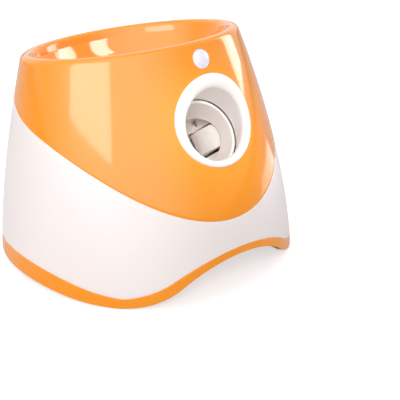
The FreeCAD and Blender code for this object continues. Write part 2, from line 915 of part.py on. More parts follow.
def round_rim(shape):
    rim_edges = []
    for edge in shape.Edges:
        middle = edge.CenterOfMass
        if edge.BoundBox.ZLength > rim_depth and abs(middle.z - rim_height + rim_slope * middle.y) < 0.5:
            rim_edges.append(edge)
    return shape.makeFillet(rim_round, rim_edges)


def below_lip():
    level = rim_height - rim_depth
    corners = [Vector(-far, -far, level + rim_slope * far), Vector(-far, far, level - rim_slope * far),
               Vector(-far, far, deep), Vector(-far, -far, deep)]
    return Part.Face(Part.makePolygon(corners + corners[:1])).extrude(Vector(2 * far, 0, 0))


def upper_shell(skin, hollow, openings):
    solid_rim = round_rim(skin.cut(rim_hole()))
    region = everywhere().common(above_seam()).cut(openings)
    return solid_rim.cut(hollow.common(below_lip())).common(region)


def corner_screws():
    return [(sx * screw_x, sy * screw_y) for sx in (-1, 1) for sy in (-1, 1)]


def side_skirt(skin, hollow, openings):
    blocks = []
    for x, y in corner_screws():
        near, end = x - math.copysign(block_half, x), x + math.copysign(3 * block_half, x)
        blocks.append(box(min(near, end), max(near, end), y - block_half, y + block_half,
                          floor_top, floor_top + block_height))
    holes = [upright(screw_radius, x, y, floor_top - 1, floor_top + screw_reach + 1)
             for x, y in corner_screws()]
    region = everywhere().cut([above_seam(), below_hem()] + openings + holes)
    return skin.cut(hollow.cut(blocks)).common(region)


def foot_points():
    return [(sx * foot_x, sy * foot_y) for sx in (-1, 1) for sy in (-1, 1)]


def base_band(skin):
    region = everywhere().common(below_hem()).cut(below_base())
    return skin.cut(body_solid(band_wall)).common(region)


def base_screw_points():
    return corner_screws() + [(sx * x, y) for sx in (-1, 1) for x, y in housing_screws]


def base_plate():
    cuts = [bay_box(0.0, floor_bottom - 1, floor_top + 1)]
    cuts.append(door_rod(door_pin_radius + running_gap, bay_half_x + door_pin_reach + running_gap))
    cuts += [upright(screw_collar, x, y, floor_bottom - 1, floor_top + 1) for x, y in base_screw_points()]
    half_x, front, rear = body_half_sizes(plate_height, band_wall + plate_gap)
    middle = Vector(0, (rear - front) / 2.0, floor_bottom)
    outline = Part.Ellipse(middle + y_axis * (front + rear) / 2.0, middle + x_axis * half_x, middle)
    plate = Part.Face(Part.Wire([outline.toShape()])).extrude(z_axis * (floor_top - floor_bottom)).cut(cuts)
    posts = []
    for x, y in foot_points():
        post_leg = upright(foot_post_radius, x, y, foot_thick, floor_bottom)
        posts.append(post_leg.cut(upright(foot_stem["radius"], x, y, 0, foot_stem["top"] + 1)))
    for x, y in board_corners():
        pillar = upright(board_pillar, x, y, floor_top, board["z"])
        posts.append(pillar.cut(upright(board_bolt["radius"], x, y, floor_top + 1, board["z"] + 1)))
    return plate.fuse(posts)


def base_screws():
    screws = []
    for x, y in base_screw_points():
        shank = upright(screw_radius, x, y, floor_bottom, floor_top + screw_reach)
        collar = upright(screw_collar, x, y, floor_bottom, floor_top)
        head = upright(screw_head["radius"], x, y, floor_bottom - screw_head["height"], floor_bottom)
        screws.append(shank.fuse([collar, head]))
    return screws


def rubber_foot(x, y):
    pad = upright(foot_radius, x, y, 0, foot_thick)
    pad = pad.makeFillet(foot_edge, [edge for edge in pad.Edges if edge.BoundBox.ZMax < foot_thick / 2])
    return pad.fuse(upright(foot_stem["radius"], x, y, foot_thick / 2, foot_stem["top"]))


def funnel_section(depth, grow):
    # blends the oval under the rim into the round drop hole
    share = 1.0 - funnel_lean * depth - (1.0 - funnel_lean) * depth ** funnel_power
    rim_x, rim_f, rim_r = body_half_sizes(1.0, rim_width - grow)
    hole = bore_radius + grow
    half_x = hole + (rim_x - hole) * share
    front = (hole - drop_point.y) + (rim_f - hole + drop_point.y) * share
    rear = (hole + drop_point.y) + (rim_r - hole - drop_point.y) * share
    top = rim_height - rim_depth
    level = funnel_floor + (top - funnel_floor) * (1.0 - depth)
    return oval(half_x, front, rear, level, rim_slope * (1.0 - depth))


def funnel_solid(grow):
    return Part.makeLoft([funnel_section(step, grow) for step in funnel_steps], True, False)


def hopper_funnel():
    funnel = funnel_solid(funnel_wall).cut(funnel_solid(0.0))
    flange_inset = wall + flange_gap
    hole_inset = rim_width - funnel_wall / 2.0
    flange = Part.makeLoft([rim_section(flange_inset, rim_depth + funnel_wall),
                            rim_section(flange_inset, rim_depth)], True, True)
    hole = Part.makeLoft([rim_section(hole_inset, rim_depth + 2 * funnel_wall),
                          rim_section(hole_inset, rim_depth - funnel_wall)], True, True)
    return funnel.fuse(flange.cut(hole))


def main():
    os.makedirs("parts", exist_ok=True)
    skin = body_solid(0.0)
    hollow = body_solid(wall)
    bezel_hole = rod(bezel_radius + skin_gap, bezel_centre - bezel_axis() * bezel_radius / 2,
                     bezel_centre + bezel_axis() * bezel_radius)
    lens_hole = sensor_rod(sensor_radius + skin_gap, -2 * sensor_dome, 2 * sensor_dome)
    save("upper_shell", upper_shell(skin, hollow, [bezel_hole, lens_hole]))
    save("hopper_funnel", hopper_funnel())
    save("outlet_bezel", outlet_bezel(body_solid(-bezel_proud)))
    jack_opening = jack_rod(jack_nose + skin_gap, jack_case["depth"], jack_case["depth"])
    save("side_skirt", side_skirt(skin, hollow, [panel_prism(panel_gap), jack_opening]))
    save("base_band", base_band(skin))
    save("base_plate", base_plate())

    save("control_panel", control_panel(skin, hollow))
    save("power_button", panel_button(-button_x))
    save("range_button", panel_button(button_x))
    save("range_lights", panel_lights())
    save("panel_board", panel_board())
    save("dc_jack", dc_jack())

    for name, maker in (("launch_housing", launch_housing_right), ("feed_tube", feed_tube_right),
                        ("wheel_tyre", wheel_tyre), ("wheel_hub", wheel_hub),
                        ("wheel_shaft", motor_shaft), ("wheel_motor", wheel_motor)):
        shape = maker()
        save(name + "_right", shape)
        save(name + "_left", mirrored(shape))
    screws = motor_screws()
    save("motor_screws", screws + [mirrored(screw) for screw in screws])

    save("feed_gate", feed_gate())
    save("gate_shaft", gate_shaft())
    save("gate_bracket", gate_bracket())
    save("gate_motor", gate_motor())
    save("trip_lever", trip_lever())
    save("trip_pin", trip_pin())
    save("trip_bracket", trip_bracket())
    save("trip_switch", trip_switch())
    save("sensor_lens", sensor_lens())
    save("sensor_board", sensor_board())
    save("battery_box", battery_box())
    save("battery_contacts", battery_contacts())
    save("battery_springs", battery_springs())
    save("battery_door", battery_door())
    save("control_board", control_board())
    save("board_parts", board_parts())
    save("board_screws", board_screws())
    save("buzzer", buzzer())
    save("base_screws", base_screws())
    for x, y in foot_points():
        save("foot_%s_%s" % ("front" if y < 0 else "rear", "left" if x < 0 else "right"), rubber_foot(x, y))


main()
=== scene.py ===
import json
import math
import bpy
from mathutils import Matrix, Vector

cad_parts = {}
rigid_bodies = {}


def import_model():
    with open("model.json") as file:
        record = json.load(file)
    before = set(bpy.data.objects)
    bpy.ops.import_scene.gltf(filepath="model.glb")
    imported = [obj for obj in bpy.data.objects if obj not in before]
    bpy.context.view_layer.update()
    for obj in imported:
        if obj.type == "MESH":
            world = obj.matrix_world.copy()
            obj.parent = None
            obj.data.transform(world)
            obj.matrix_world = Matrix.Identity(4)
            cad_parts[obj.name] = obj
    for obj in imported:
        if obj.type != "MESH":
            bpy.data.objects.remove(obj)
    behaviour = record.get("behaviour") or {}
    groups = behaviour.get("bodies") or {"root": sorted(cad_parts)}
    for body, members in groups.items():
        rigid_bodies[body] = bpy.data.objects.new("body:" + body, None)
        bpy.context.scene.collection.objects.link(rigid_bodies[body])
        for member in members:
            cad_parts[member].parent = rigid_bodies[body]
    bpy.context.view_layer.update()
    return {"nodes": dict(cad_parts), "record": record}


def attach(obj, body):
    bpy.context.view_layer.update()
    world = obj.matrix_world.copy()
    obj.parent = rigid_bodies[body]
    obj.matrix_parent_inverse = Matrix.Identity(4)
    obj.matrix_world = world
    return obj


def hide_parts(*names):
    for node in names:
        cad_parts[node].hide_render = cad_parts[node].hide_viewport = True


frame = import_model()
print("frame loaded")

# the leaning oval body, in metres, and the lines that cut it
body = dict(baseX=0.125, baseFront=0.1313, baseRear=0.1287, rimX=0.0915, rimFront=0.071,
            rimRear=0.1025, rimHeight=0.182, rimSlope=0.2, flare=1.5, coreY=0.01)

# an arch or hem is (half width, rise, radius of its crown)
trim = dict(footHeight=0.001, bandHeight=0.0077,
            seamHeight=0.1243, seamY=0.0, seamRise=0.2, seamCurve=2.46,
            frontArch=(0.099, 0.034, 0.086), sideArch=(0.096, 0.0048, 0.481),
            frontHem=(0.1096, 0.0329, 0.1066), sideHem=(0.1218, 0.0134, 0.280))

# how finely the pieces are made
making = dict(halvings=30, smoothAngle=35, sharpAngle=50, bevelSegments=3, mergeWithin=0.000001,
              nearly=0.99, fit=0.0001)


def bodySizes(height, inset=0.0):
    # half width, half length and middle of the oval at a height from 0, the floor, to 1, the rim
    ease = 1.0 - max(height, 0.0) ** body["flare"]
    halfX = body["rimX"] + (body["baseX"] - body["rimX"]) * ease - inset
    front = body["rimFront"] + (body["baseFront"] - body["rimFront"]) * ease - inset
    rear = body["rimRear"] + (body["baseRear"] - body["rimRear"]) * ease - inset
    return halfX, (front + rear) / 2, (rear - front) / 2


def bodyPoint(height, angle, inset=0.0, drop=0.0):
    # a point of the skin, or inset from it and drop below it
    halfX, halfY, midY = bodySizes(height, inset)
    x = halfX * math.cos(angle)
    y = midY + halfY * math.sin(angle)
    return Vector((x, y, height * (body["rimHeight"] - body["rimSlope"] * y) - drop))


def insideBody(point):
    height = point.z / (body["rimHeight"] - body["rimSlope"] * point.y)
    halfX, halfY, midY = bodySizes(height)
    return (point.x / halfX) ** 2 + ((point.y - midY) / halfY) ** 2 < 1.0


def halve(low, high, holds):
    # closes in on the value between low and high up to which the test holds
    for _ in range(making["halvings"]):
        middle = (low + high) / 2
        if holds(middle):
            low = middle
        else:
            high = middle
    return low


def skinAlong(start, direction, reach=0.04):
    # how far from start, along direction, the skin of the body lies
    return halve(-reach, reach, lambda step: insideBody(start + direction * step))


def archHeight(across, arch):
    # a round crown that runs out into two hollow feet
    half, rise, crown = arch
    across = abs(across)
    if across >= half:
        return 0.0
    reach = (half * half + rise * rise) / (2 * rise)
    toe = reach - crown
    if across < crown * half / reach:
        return rise - crown + math.sqrt(crown * crown - across * across)
    return toe - math.sqrt(toe * toe - (half - across) ** 2)


def baseLine(point):
    frontRise = archHeight(point.x, trim["frontArch"])
    sideRise = archHeight(point.y, trim["sideArch"])
    return trim["footHeight"] + max(frontRise, sideRise)


def hemLine(point):
    frontRise = archHeight(point.x, trim["frontHem"])
    sideRise = archHeight(point.y, trim["sideHem"])
    return trim["bandHeight"] + max(frontRise, sideRise)


def seamLine(point):
    # straight behind seamY, and curving down ahead of it
    ahead = max(trim["seamY"] - point.y, 0.0)
    straight = trim["seamHeight"] + trim["seamRise"] * (point.y - trim["seamY"])
    return straight - trim["seamCurve"] * ahead ** 2


def heightOn(line, angle):
    # the share of the body's height at which its skin meets a line
    def below(height):
        point = bodyPoint(height, angle)
        return point.z < line(point)

    return halve(0.0, 1.0, below)


def deselectAll():
    if bpy.context.object and bpy.context.object.mode != "OBJECT":
        bpy.ops.object.mode_set(mode="OBJECT")
    bpy.ops.object.select_all(action="DESELECT")


def makeActive(piece):
    deselectAll()
    piece.select_set(True)
    bpy.context.view_layer.objects.active = piece


def applyModifier(piece, kind, **values):
    makeActive(piece)
    modifier = piece.modifiers.new(kind.title(), kind)
    for key, value in values.items():
        setattr(modifier, key, value)
    bpy.ops.object.modifier_apply(modifier=modifier.name)


def wrapStrip(name, columns, rows, place):
    # a grid whose points are placed by place(turn, row), closed round the turn
    deselectAll()
    bpy.ops.mesh.primitive_grid_add(x_subdivisions=columns, y_subdivisions=rows, size=1.0)
    piece = bpy.context.object
    piece.name = name
    for vertex in piece.data.vertices:
        column = round((vertex.co.x + 0.5) * columns) % columns
        row = round((vertex.co.y + 0.5) * rows)
        vertex.co = place(column / columns, row)
    makeActive(piece)
    bpy.ops.object.mode_set(mode="EDIT")
    bpy.ops.mesh.select_all(action="SELECT")
    bpy.ops.mesh.remove_doubles(threshold=making["mergeWithin"])
    bpy.ops.object.mode_set(mode="OBJECT")
    return piece


def faceAway(piece, centre):
    # turns the faces so that the first one looks away from the centre that its place gives
    polygon = piece.data.polygons[0]
    if polygon.normal.dot(polygon.center - centre(polygon.center)) < 0:
        makeActive(piece)
        bpy.ops.object.mode_set(mode="EDIT")
        bpy.ops.mesh.select_all(action="SELECT")
        bpy.ops.mesh.flip_normals()
        bpy.ops.object.mode_set(mode="OBJECT")


def loftRings(name, rings, columns):
    # each ring is (centre, half width, half length, slope down towards +Y), and all are bridged.
    # It is added leaning at 45 degrees, and resizing it along Z then gives its slope.
    lean = math.radians(45)
    deselectAll()
    for number, (centre, halfX, halfY, slope) in enumerate(rings):
        bpy.ops.mesh.primitive_circle_add(vertices=columns, radius=1, location=centre,
                                          rotation=(-lean, 0, 0))
        if number == 0:
            piece = bpy.context.object
            piece.name = name
            bpy.ops.object.transform_apply(location=True, rotation=True, scale=True)
            bpy.ops.object.mode_set(mode="EDIT")
            bpy.ops.mesh.select_mode(type="EDGE")
            bpy.ops.mesh.select_all(action="SELECT")
        stretch = halfY / math.cos(lean)
        bpy.ops.transform.resize(value=(halfX, stretch, stretch * slope),
                                 center_override=centre)
    for number in range(len(rings) - 1):
        bpy.ops.mesh.select_all(action="DESELECT")
        bpy.ops.object.mode_set(mode="OBJECT")
        for edge in piece.data.edges:
            edge.select = all(number <= i // columns <= number + 1 for i in edge.vertices)
        bpy.ops.object.mode_set(mode="EDIT")
        bpy.ops.mesh.bridge_edge_loops()
    bpy.ops.object.mode_set(mode="OBJECT")
    return piece


def arcPoints(centreR, centreH, halfR, halfH, start, end, count):
    points = []
    for i in range(count + 1):
        angle = math.radians(start + (end - start) * i / count)
        points.append((centreR + halfR * math.cos(angle), centreH + halfH * math.sin(angle)))
    return points


def selectFaces(piece, wanted):
    # leaves the piece in edit mode with the wanted faces selected
    makeActive(piece)
    bpy.ops.object.mode_set(mode="EDIT")
    bpy.ops.mesh.select_mode(type="FACE")
    bpy.ops.mesh.select_all(action="DESELECT")
    bpy.ops.object.mode_set(mode="OBJECT")
    for face in piece.data.polygons:
        face.select = bool(wanted(face))
    bpy.ops.object.mode_set(mode="EDIT")


def roundEdges(piece, width, within):
    # bevels the sharp edges whose middle passes the test
    makeActive(piece)
    bpy.ops.object.mode_set(mode="EDIT")
    bpy.ops.mesh.select_mode(type="EDGE")
    bpy.ops.mesh.select_all(action="DESELECT")
    bpy.ops.mesh.edges_select_sharp(sharpness=math.radians(making["sharpAngle"]))
    bpy.ops.object.mode_set(mode="OBJECT")
    for edge in piece.data.edges:
        start, end = (piece.data.vertices[i].co for i in edge.vertices)
        if edge.select and not within((start + end) / 2):
            edge.select = False
    bpy.ops.object.mode_set(mode="EDIT")
    bpy.ops.mesh.bevel(offset=width, segments=making["bevelSegments"], affect="EDGES")
    bpy.ops.object.mode_set(mode="OBJECT")


def cutWith(piece, cutter):
    applyModifier(piece, "BOOLEAN", object=cutter, operation="DIFFERENCE", solver="EXACT")
    bpy.data.objects.remove(cutter, do_unlink=True)


def cutWithRod(piece, radius, start, end, columns):
    deselectAll()
    axis = end - start
    bpy.ops.mesh.primitive_cylinder_add(vertices=columns, radius=radius, depth=axis.length)
    rod = bpy.context.object
    turn = axis.normalized().to_track_quat("Z", "Y").to_matrix().to_4x4()
    rod.data.transform(Matrix.Translation((start + end) / 2) @ turn)
    cutWith(piece, rod)


def newGroup(name, inputs, outputs):
    group = bpy.data.node_groups.new(name, "ShaderNodeTree")
    for label, kind, value in inputs:
        socket = group.interface.new_socket(label, in_out="INPUT", socket_type=kind)
        socket.default_value = value
    for label, kind in outputs:
        group.interface.new_socket(label, in_out="OUTPUT", socket_type=kind)
    return group, group.nodes.new("NodeGroupInput"), group.nodes.new("NodeGroupOutput")


def linkUp(tree, *pairs):
    for start, end in pairs:
        tree.links.new(start, end)


def makeMouldGrain():
    # fine texture of a mould, with slow changes of gloss
    group, source, sink = newGroup("mouldGrain",
                                   [("Grain Scale", "NodeSocketFloat", 900.0),
                                    ("Cloud Scale", "NodeSocketFloat", 9.0),
                                    ("Low Gloss", "NodeSocketFloat", 0.3),
                                    ("High Gloss", "NodeSocketFloat", 0.4)],
                                   [("Height", "NodeSocketFloat"),
                                    ("Roughness", "NodeSocketFloat")])
    place = group.nodes.new("ShaderNodeTexCoord")
    grain = group.nodes.new("ShaderNodeTexNoise")
    grain.inputs["Detail"].default_value = 2.0
    cloud = group.nodes.new("ShaderNodeTexNoise")
    cloud.inputs["Detail"].default_value = 3.0
    spread = group.nodes.new("ShaderNodeMapRange")
    spread.inputs["From Min"].default_value = 0.3
    spread.inputs["From Max"].default_value = 0.7
    linkUp(group,
           (place.outputs["Object"], grain.inputs["Vector"]),
           (place.outputs["Object"], cloud.inputs["Vector"]),
           (source.outputs["Grain Scale"], grain.inputs["Scale"]),
           (source.outputs["Cloud Scale"], cloud.inputs["Scale"]),
           (source.outputs["Low Gloss"], spread.inputs["To Min"]),
           (source.outputs["High Gloss"], spread.inputs["To Max"]),
           (cloud.outputs["Fac"], spread.inputs["Value"]),
           (grain.outputs["Fac"], sink.inputs["Height"]),
           (spread.outputs["Result"], sink.inputs["Roughness"]))
    return group


def makeTintCloud():
    # a base colour that drifts a little, as pigment does in moulded plastic
    group, source, sink = newGroup("tintCloud",
                                   [("Scale", "NodeSocketFloat", 6.0),
                                    ("Dark", "NodeSocketColor", (0.5, 0.5, 0.5, 1)),
                                    ("Light", "NodeSocketColor", (0.6, 0.6, 0.6, 1))],
                                   [("Color", "NodeSocketColor")])
    place = group.nodes.new("ShaderNodeTexCoord")
    cloud = group.nodes.new("ShaderNodeTexNoise")
    cloud.inputs["Detail"].default_value = 4.0
    ramp = group.nodes.new("ShaderNodeMapRange")
    ramp.inputs["From Min"].default_value = 0.32
    ramp.inputs["From Max"].default_value = 0.68
    mix = group.nodes.new("ShaderNodeMix")
    mix.data_type = "RGBA"
    linkUp(group,
           (place.outputs["Object"], cloud.inputs["Vector"]),
           (source.outputs["Scale"], cloud.inputs["Scale"]),
           (cloud.outputs["Fac"], ramp.inputs["Value"]),
           (ramp.outputs["Result"], mix.inputs["Factor"]),
           (source.outputs["Dark"], mix.inputs["A"]),
           (source.outputs["Light"], mix.inputs["B"]),
           (mix.outputs["Result"], sink.inputs["Color"]))
    return group


mouldGrain = makeMouldGrain()
tintCloud = makeTintCloud()


def mouldedMaterial(name, dark, light, gloss, grain, bump, metallic=0.0, coat=0.0, specular=0.5,
                    subsurface=0.0):
    # gloss is the roughness where the clouds are lowest and highest
    material = bpy.data.materials.new(name)
    material.use_nodes = True
    tree = material.node_tree
    shader = tree.nodes["Principled BSDF"]
    shader.inputs["Metallic"].default_value = metallic
    shader.inputs["Coat Weight"].default_value = coat
    shader.inputs["Coat Roughness"].default_value = 0.04
    shader.inputs["Specular IOR Level"].default_value = specular
    shader.inputs["Subsurface Weight"].default_value = subsurface
    shader.inputs["Subsurface Scale"].default_value = 0.004
    surface = tree.nodes.new("ShaderNodeGroup")
    surface.node_tree = mouldGrain
    surface.inputs["Grain Scale"].default_value = grain
    surface.inputs["Low Gloss"].default_value = gloss[0]
    surface.inputs["High Gloss"].default_value = gloss[1]
    tint = tree.nodes.new("ShaderNodeGroup")
    tint.node_tree = tintCloud
    tint.inputs["Dark"].default_value = (*dark, 1)
    tint.inputs["Light"].default_value = (*light, 1)
    relief = tree.nodes.new("ShaderNodeBump")
    relief.inputs["Strength"].default_value = bump
    relief.inputs["Distance"].default_value = 0.0004
    linkUp(tree,
           (surface.outputs["Height"], relief.inputs["Height"]),
           (relief.outputs["Normal"], shader.inputs["Normal"]),
           (surface.outputs["Roughness"], shader.inputs["Roughness"]),
           (tint.outputs["Color"], shader.inputs["Base Color"]))
    return material


# each finish is its two tints, its gloss range, and the scale and height of its grain
finishLooks = dict(
    orangeGloss=dict(dark=(0.95, 0.30, 0.008), light=(0.98, 0.325, 0.012), gloss=(0.10, 0.16),
                     grain=700, bump=0.01, coat=0.35, specular=0.3),
    skirtWhite=dict(dark=(0.88, 0.80, 0.785), light=(0.90, 0.83, 0.815), gloss=(0.30, 0.38),
                    grain=2500, bump=0.03),
    bezelWhite=dict(dark=(0.88, 0.825, 0.79), light=(0.90, 0.85, 0.815), gloss=(0.28, 0.36),
                    grain=900, bump=0.02),
    housingWhite=dict(dark=(0.95, 0.885, 0.85), light=(0.96, 0.91, 0.88), gloss=(0.35, 0.45),
                      grain=900, bump=0.04),
    treadWhite=dict(dark=(0.84, 0.81, 0.77), light=(0.88, 0.85, 0.82), gloss=(0.45, 0.6),
                    grain=500, bump=0.15),
    hubGrey=dict(dark=(0.55, 0.55, 0.55), light=(0.6, 0.6, 0.6), gloss=(0.4, 0.5),
                 grain=900, bump=0.05),
    lensMilk=dict(dark=(0.78, 0.77, 0.90), light=(0.82, 0.81, 0.93), gloss=(0.18, 0.26),
                  grain=900, bump=0.02, subsurface=0.3),
    motorSteel=dict(dark=(0.55, 0.55, 0.56), light=(0.62, 0.62, 0.63), gloss=(0.28, 0.42),
                    grain=1500, bump=0.08, metallic=1.0),
    blackPlastic=dict(dark=(0.012, 0.012, 0.013), light=(0.02, 0.02, 0.021), gloss=(0.4, 0.55),
                      grain=900, bump=0.1),
    panelGrey=dict(dark=(0.035, 0.036, 0.04), light=(0.05, 0.051, 0.055), gloss=(0.35, 0.5),
                   grain=1200, bump=0.15),
    buttonOrange=dict(dark=(0.88, 0.25, 0.02), light=(0.92, 0.28, 0.025), gloss=(0.3, 0.4),
                      grain=900, bump=0.05),
    boardGreen=dict(dark=(0.01, 0.07, 0.025), light=(0.015, 0.10, 0.035), gloss=(0.3, 0.45),
                    grain=400, bump=0.1),
    contactNickel=dict(dark=(0.62, 0.6, 0.55), light=(0.7, 0.68, 0.63), gloss=(0.2, 0.35),
                       grain=1500, bump=0.05, metallic=1.0),
    footRubber=dict(dark=(0.02, 0.02, 0.02), light=(0.03, 0.03, 0.03), gloss=(0.6, 0.75),
                    grain=700, bump=0.2),
    lightClear=dict(dark=(0.6, 0.8, 0.65), light=(0.65, 0.85, 0.7), gloss=(0.1, 0.2),
                    grain=900, bump=0.01),
)
finishes = {name: mouldedMaterial(name, **look) for name, look in finishLooks.items()}

# the finish that each material slot of the record gets
slotFinish = dict(
    orange_gloss="orangeGloss", white_gloss="skirtWhite", bezel_white="bezelWhite",
    milky_lens="lensMilk", housing_white="housingWhite", tyre_white="treadWhite",
    hub_white="hubGrey", motor_steel="motorSteel", shaft_steel="contactNickel",
    black_plastic="blackPlastic", panel_grey="panelGrey", button_orange="buttonOrange",
    light_clear="lightClear", circuit_green="boardGreen", contact_nickel="contactNickel",
    foot_rubber="footRubber", screw_zinc="contactNickel",
)
for entry in frame["record"]["subparts"]:
    cadNode = frame["nodes"][entry["node"]]
    for cadSlot in cadNode.material_slots:
        cadSlot.material = finishes[slotFinish[entry["material_slot"]]]
print("materials made")


def finishPiece(piece, slot, node, rideOn="launcher"):
    piece.data.materials.clear()
    piece.data.materials.append(finishes[slotFinish[slot]])
    makeActive(piece)
    bpy.ops.object.shade_smooth_by_angle(angle=math.radians(making["smoothAngle"]))
    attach(piece, rideOn)
    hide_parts(node)


# the camera circles the point that is sideways along its own right, and up along Z, from the origin
view = dict(azimuth=-40.153, elevation=25.51, distance=0.951, sideways=0.048593, up=0.035311,
            focal=97.48, sensor=36)


def makeCamera():
    azimuth = math.radians(view["azimuth"])
    elevation = math.radians(view["elevation"])
    back = Vector((math.sin(azimuth) * math.cos(elevation),
                   -math.cos(azimuth) * math.cos(elevation), math.sin(elevation)))
    right = (-back).cross(Vector((0, 0, 1))).normalized()
    target = Vector((0, 0, view["up"])) + right * view["sideways"]
    data = bpy.data.cameras.new("camera")
    data.lens = view["focal"]
    data.sensor_width = view["sensor"]
    camera = bpy.data.objects.new("camera", data)
    bpy.context.collection.objects.link(camera)
    camera.location = target + back * view["distance"]
    camera.rotation_euler = back.to_track_quat("Z", "Y").to_euler()
    bpy.context.scene.camera = camera


makeCamera()
print("camera set")


shell = dict(columns=256, rows=44, wall=0.0026, edgeRound=0.0005, edgesBelow=0.93,
             rimRound=0.0053, rimWidth=0.011, lipDrop=0.008, lipSteps=9, lipLean=20.0)


def rimLean(angle):
    # how far the skin leans inwards where it meets the rim
    frontHeight = body["rimHeight"] + body["rimSlope"] * body["rimFront"]
    rearHeight = body["rimHeight"] - body["rimSlope"] * body["rimRear"]
    front = (body["baseFront"] - body["rimFront"]) / frontHeight
    rear = (body["baseRear"] - body["rimRear"]) / rearHeight
    side = (body["baseX"] - body["rimX"]) / body["rimHeight"]
    lengthways = rear if math.sin(angle) > 0 else front
    steepness = side * math.cos(angle) ** 2 + lengthways * math.sin(angle) ** 2
    return math.atan(body["flare"] * steepness)


def lipInset():
    # how far in from the body's skin the leaning lip ends
    lean, bend = math.radians(shell["lipLean"]), shell["rimRound"]
    straight = shell["lipDrop"] - bend + bend * math.sin(lean)
    return shell["rimWidth"] - bend + bend * math.cos(lean) + straight * math.tan(lean)


def upperShellPoint(turn, row):
    # up the skin, over the round rim, and down its leaning inner lip
    angle = 2 * math.pi * turn
    lean = rimLean(angle)
    bend = shell["rimRound"]
    if row <= shell["rows"]:
        low = heightOn(seamLine, angle)
        rim = bodyPoint(1.0, angle)
        high = 1.0 - bend * (1 - math.sin(lean)) / rim.z
        return bodyPoint(low + (high - low) * row / shell["rows"], angle)
    step = row - shell["rows"]
    steps = shell["lipSteps"]
    if step <= steps:
        arc = lean + (math.pi / 2 - lean) * step / steps
        inset = bend / math.cos(lean) - bend * math.tan(lean) - bend * math.cos(arc)
        return bodyPoint(1.0, angle, inset, bend - bend * math.sin(arc))
    if step <= 2 * steps + 1:
        sweep = math.pi / 2 - math.radians(shell["lipLean"])
        arc = math.pi / 2 + sweep * (step - steps - 1) / steps
        inset = shell["rimWidth"] - bend - bend * math.cos(arc)
        return bodyPoint(1.0, angle, inset, bend - bend * math.sin(arc))
    return bodyPoint(1.0, angle, lipInset(), shell["lipDrop"])


def belowLip(point):
    return point.z < shell["edgesBelow"] * (body["rimHeight"] - body["rimSlope"] * point.y)


def coreAt(place):
    return Vector((0, body["coreY"], place.z))


def thicken(piece, wall):
    # gives a skin its wall, inwards
    applyModifier(piece, "SOLIDIFY", thickness=wall, offset=-1, use_even_offset=True)


def makeUpperShell():
    rows = shell["rows"] + 2 * shell["lipSteps"] + 2
    piece = wrapStrip("upperShell", shell["columns"], rows, upperShellPoint)
    faceAway(piece, coreAt)
    thicken(piece, shell["wall"])
    roundEdges(piece, shell["edgeRound"], belowLip)
    start, end = (bezelPoint(outward) for outward in bezel["cut"])
    cutWithRod(piece, bezel["radius"] + making["fit"], start, end, bezel["columns"])
    start, end = (lensPoint(outward) for outward in lens["cut"])
    cutWithRod(piece, lens["radius"] + making["fit"], start, end, lens["columns"])
    finishPiece(piece, "orange_gloss", "upper_shell")


def makeStrip(name, lowLine, highLine, wall, rows):
    # the part of the body's skin between two lines
    spans = {}

    def place(turn, row):
        angle = 2 * math.pi * turn
        if turn not in spans:
            spans[turn] = (heightOn(lowLine, angle), heightOn(highLine, angle))
        low, high = spans[turn]
        return bodyPoint(low + (high - low) * row / rows, angle)

    piece = wrapStrip(name, shell["columns"], rows, place)
    faceAway(piece, coreAt)
    thicken(piece, wall)
    roundEdges(piece, shell["edgeRound"], belowLip)
    return piece


skirt = dict(wall=0.003, rows=40,
             panelX=0.0342, panelY=0.105, panelDepth=0.09, panelLow=0.0908, panelHigh=0.1192,
             panelCorner=0.0082, cornerSegments=10,
             jackZ=0.066, jackRadius=0.0041, jackCut=(0.1, 0.14), jackColumns=48,
             blockX=(0.094, 0.1105), blockY=0.040, blockHalf=0.006, blockZ=(0.040, 0.054),
             blockRound=0.0008)


def cutPanelOpening(piece):
    # a block with its four long edges rounded, cut out of the back
    deselectAll()
    low, high = skirt["panelLow"], skirt["panelHigh"]
    bpy.ops.mesh.primitive_cube_add(size=1, location=(0, skirt["panelY"], (low + high) / 2),
                                    scale=(2 * skirt["panelX"], skirt["panelDepth"], high - low))
    block = bpy.context.object
    bpy.ops.object.transform_apply(location=True, rotation=False, scale=True)
    bpy.ops.object.mode_set(mode="EDIT")
    bpy.ops.mesh.select_all(action="DESELECT")
    bpy.ops.object.mode_set(mode="OBJECT")
    for edge in block.data.edges:
        start, end = (block.data.vertices[i].co for i in edge.vertices)
        edge.select = abs(start.y - end.y) > skirt["panelDepth"] / 2
    bpy.ops.object.mode_set(mode="EDIT")
    bpy.ops.mesh.bevel(offset=skirt["panelCorner"], segments=skirt["cornerSegments"],
                       affect="EDGES")
    bpy.ops.object.mode_set(mode="OBJECT")
    cutWith(piece, block)


def addScrewBlock(sideX, sideY):
    low, high = skirt["blockX"]
    bottom, top = skirt["blockZ"]
    place = (sideX * (low + high) / 2, sideY * skirt["blockY"], (bottom + top) / 2)
    deselectAll()
    bpy.ops.mesh.primitive_cube_add(size=1, location=place,
                                    scale=(high - low, 2 * skirt["blockHalf"], top - bottom))
    block = bpy.context.object
    bpy.ops.object.transform_apply(location=True, rotation=False, scale=True)
    roundEdges(block, skirt["blockRound"], lambda spot: True)
    return block


def makeSkirt():
    piece = makeStrip("sideSkirt", hemLine, seamLine, skirt["wall"], skirt["rows"])
    cutPanelOpening(piece)
    blocks = [addScrewBlock(sideX, sideY) for sideX in (-1, 1) for sideY in (-1, 1)]
    makeActive(piece)
    for block in blocks:
        block.select_set(True)
    bpy.ops.object.join()
    start, end = (Vector((0, y, skirt["jackZ"])) for y in skirt["jackCut"])
    cutWithRod(piece, skirt["jackRadius"], start, end, skirt["jackColumns"])
    finishPiece(piece, "white_gloss", "side_skirt")


band = dict(wall=0.0055, rows=8)


